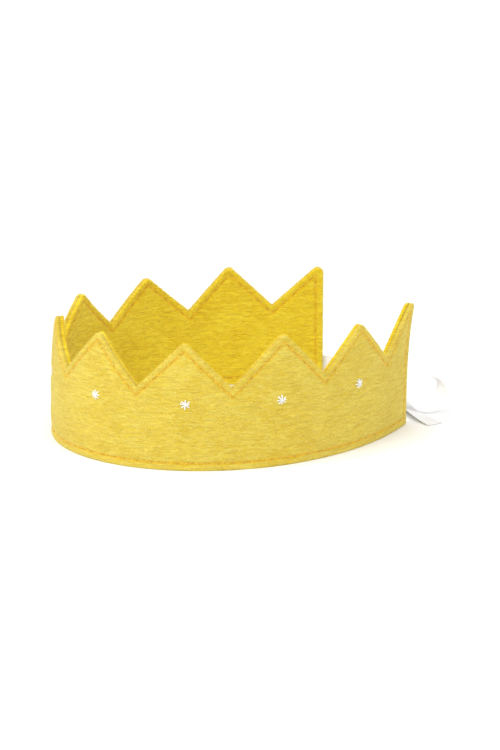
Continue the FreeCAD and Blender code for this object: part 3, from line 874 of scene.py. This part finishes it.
def ribbon_strip(stations, seed):
    """A thin strip with a firm edge, gathered into folds where it is narrow."""
    picks = np.random.default_rng(seed)
    points = np.array([point for point, _, _ in stations])
    ways = unit(np.array([way for _, way, _ in stations]))
    wide = np.array([[width] for _, _, width in stations], float)
    places = np.concatenate([[0.0], np.cumsum(np.linalg.norm(np.diff(points, axis=0), axis=1))])
    finer = np.linspace(0, places[-1], int(places[-1] / 0.6) + 1)
    spine = smooth_through(places, points, finer)
    way = smooth_through(places, ways, finer)
    width = np.clip(smooth_through(places, wide, finer), 4.4, WIDE)
    tangent = unit(np.gradient(spine, axis=0))
    across = unit(way - tangent * np.sum(way * tangent, axis=1, keepdims=True))
    normal = np.cross(tangent, across)
    columns = 25
    share = np.linspace(-0.5, 0.5, columns)
    slack = np.clip(1 - width / WIDE, 0, 0.55)
    phase = picks.uniform(0, 6.28)
    folds = slack * 1.15 * np.sin(share * 2 * math.pi * 3 + phase)[None, :]
    ripple = 0.10 * np.sin(finer / 5.5 + picks.uniform(0, 6))[:, None] * np.cos(share * math.pi)[None, :]
    cup = -0.35 * np.cos(share * math.pi)[None, :] * np.clip(width / WIDE - 0.6, 0, 1)
    height = folds + ripple + cup
    half_thick = RIBBON_THICKNESS / 2 * (1 + 0.5 * np.clip((np.abs(share) - 0.44) / 0.06, 0, 1))
    half_thick = np.where(np.abs(share) > 0.499, 0.02, half_thick)
    base = spine[:, None, :] + across[:, None, :] * (share[None, :] * width)[..., None]
    top = base + normal[:, None, :] * (height + half_thick[None, :])[..., None]
    under = base + normal[:, None, :] * (height - half_thick[None, :])[..., None]
    rows = len(finer)
    cloth = np.concatenate([top.reshape(-1, 3), under.reshape(-1, 3)])
    cloth[:, 2] = np.maximum(cloth[:, 2], 0.04)
    count = rows * columns
    faces = [grid_faces(rows, columns, 0), grid_faces(rows, columns, count, True)]
    r = np.arange(rows - 1) * columns
    for column, turned in ((0, False), (columns - 1, True)):
        here, ahead = r + column, r + columns + column
        side = np.stack([here, ahead, count + ahead, count + here], 1)
        faces.append(side[:, ::-1] if turned else side)
    c = np.arange(columns - 1)
    for row, turned in ((0, True), (rows - 1, False)):
        first = row * columns + c
        end = np.stack([first, first + 1, count + first + 1, count + first], 1)
        faces.append(end if turned else end[:, ::-1])
    flat = np.stack([finer[:, None] + 0 * share[None, :], share[None, :] * WIDE + 0 * finer[:, None]], -1)
    pattern = np.concatenate([flat.reshape(-1, 2)] * 2)
    area = float(np.sum(np.diff(finer)) * WIDE)
    return cloth, faces, pattern, area


def ribbon_cloth(name, strips_of_it, node_name, seed):
    points, faces, pattern, start, area = [], [], [], 0, 0.0
    for i, stations in enumerate(strips_of_it):
        cloth, quads, flat, covered = ribbon_strip(stations, seed + i)
        points.append(cloth)
        faces += [group + start for group in quads]
        pattern.append(flat + np.array([i * 100.0, 0.0]))
        start += len(cloth)
        area += covered
    piece = new_piece(name, np.concatenate(points), faces, WHITE_RIBBON, np.concatenate(pattern))
    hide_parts(node_name)
    return piece, area


def knot_turn(name, side, seed):
    """One turn of ribbon round the knot: a drawn-in band with the folds of its gathers."""
    picks = np.random.default_rng(seed)
    rings, around_steps = 33, 64
    t = np.linspace(-1, 1, rings)
    around = np.linspace(0, 2 * math.pi, around_steps, endpoint=False)
    body = (1 - np.abs(t) ** 3.2) ** 0.42
    fold = 0.20 * np.sin(t * math.pi * 2.5 + picks.uniform(0, 6)) * (1 - t ** 2)
    squarer = 1 / (np.abs(np.cos(around)) ** 3 + np.abs(np.sin(around)) ** 3) ** (1 / 3)
    wander = 0.05 * np.sin(around * 3 + picks.uniform(0, 6))
    radius_across = (WRAP_WIDTH / 2 * body)[:, None] * squarer[None, :]
    radius_up = (WRAP_DEPTH / 2 * body)[:, None] * squarer[None, :]
    relief = (fold[:, None] + wander[None, :]) * np.clip(body, 0, 1)[:, None]
    centre = KNOT + BOW_OUT * side * (WRAP_GAP + WRAP_LENGTH) / 2
    out = (t * WRAP_LENGTH / 2)[:, None] + 0.12 * np.sin(around * 2 + 1)[None, :]
    points = centre + BOW_OUT * out[..., None]
    points = points + BOW_ACROSS * ((radius_across + relief) * np.cos(around)[None, :])[..., None]
    points = points + UP * ((radius_up + relief) * np.sin(around)[None, :])[..., None]
    quads = []
    for r in range(rings - 1):
        for k in range(around_steps):
            after = (k + 1) % around_steps
            a, b = r * around_steps, (r + 1) * around_steps
            quads.append((a + k, a + after, b + after, b + k))
    run = around[None, :] * 3.6 + 0 * t[:, None]
    flat = np.stack([run.ravel(), (t[:, None] * 5 + 0 * around[None, :]).ravel()], 1)
    return new_piece(name, points.reshape(-1, 3), [np.array(quads)], WHITE_RIBBON, flat)


# Build the crown.
NAP_FIBRES = 46000
FUZZ_FIBRES = 24000
layers = (
    ("outer", 1, OUTER_FELT, OUTER_FIBRE, 21),
    ("inner", -1, INNER_FELT, INNER_FIBRE, 57))
for layer, side, felt, fibre, seed in layers:
    cloth = felt_cloth(f"{layer}_felt_cloth", side, felt, seed)
    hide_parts(f"{layer}_felt")
    nap = brushed_nap(f"{layer}_nap", side, NAP_FIBRES, fibre, seed)
    fuzz = edge_fuzz(f"{layer}_edge_fuzz", side, FUZZ_FIBRES, fibre, seed + 1)
    seam = seam_stitches(f"{layer}_seam_stitches", side, seed + 2)

for tooth in range(1, WHOLE_TEETH + 1):
    star_floss(tooth, 300)

left, left_area = ribbon_cloth(
    "left_ribbon_cloth",
    [lead_stations(LEFT_LEAD, 1), bow_stations(RIGHT_LOOP), bow_stations(RIGHT_TAIL)], "left_ribbon", 400)
right, right_area = ribbon_cloth(
    "right_ribbon_cloth",
    [lead_stations(RIGHT_LEAD, -1), bow_stations(LEFT_LOOP), bow_stations(LEFT_TAIL)], "right_ribbon", 500)
left_turn = knot_turn("left_knot_turn", 1, 600)
right_turn = knot_turn("right_knot_turn", -1, 700)

# Floor, light and camera.


def studio_floor():
    mesh = bpy.data.meshes.new("floor")
    far = 6.0
    corners = [(-far, -far, 0), (far, -far, 0), (far, far, 0), (-far, far, 0)]
    mesh.from_pydata(corners, [], [(0, 1, 2, 3)])
    material, tree, surface = shader("white_floor")
    place = node(tree, "ShaderNodeTexCoord").outputs["Object"]
    tone = noise(tree, place, 3.0, 2.0)
    white = ramp(tree, tone, [(0.3, (0.93, 0.93, 0.93)), (0.7, (0.95, 0.95, 0.95))])
    tree.links.new(white, surface.inputs["Base Color"])
    surface.inputs["Roughness"].default_value = 0.85
    surface.inputs["Specular IOR Level"].default_value = 0.1
    mesh.materials.append(material)
    floor = bpy.data.objects.new("floor", mesh)
    bpy.context.scene.collection.objects.link(floor)


def soft_light(name, place, aim, size, power, colour=(1, 1, 1)):
    light = bpy.data.lights.new(name, "AREA")
    light.shape = "SQUARE"
    light.size = size
    light.energy = power
    light.color = colour
    lamp = bpy.data.objects.new(name, light)
    bpy.context.scene.collection.objects.link(lamp)
    lamp.location = place
    way = np.array(aim) - np.array(place)
    level = math.hypot(way[0], way[1])
    pitch = math.pi / 2 + math.atan2(way[2], level)
    lamp.rotation_euler = (pitch, 0, math.atan2(way[1], way[0]) - math.pi / 2)


studio_floor()
scene = bpy.context.scene
world = bpy.data.worlds.new("white_studio")
scene.world = world
world.use_nodes = True
world.node_tree.nodes["Background"].inputs["Color"].default_value = (1, 1, 1, 1)
world.node_tree.nodes["Background"].inputs["Strength"].default_value = 1.05
soft_light("key", (-0.75, -0.55, 1.15), (0, 0, 0.03), 0.7, 9.0)
soft_light("fill", (0.9, -1.0, 0.9), (0, 0, 0.03), 1.0, 3.0)

scene.view_settings.view_transform = "Standard"
scene.view_settings.look = "None"

# The photograph's camera looks along Y and dips by an angle in radians. Its place is in metres.
CAMERA_PLACE = (-0.00076, -1.70262, 0.5245)
CAMERA_DIP = 0.28382
CAMERA_LENS = 158.12
camera_data = bpy.data.cameras.new("camera")
camera_data.lens = CAMERA_LENS
camera_data.sensor_width = 36.0
camera_data.clip_end = 50.0
camera = bpy.data.objects.new("camera", camera_data)
scene.collection.objects.link(camera)
camera.location = CAMERA_PLACE
camera.rotation_euler = (math.pi / 2 - CAMERA_DIP, 0, 0)
scene.camera = camera
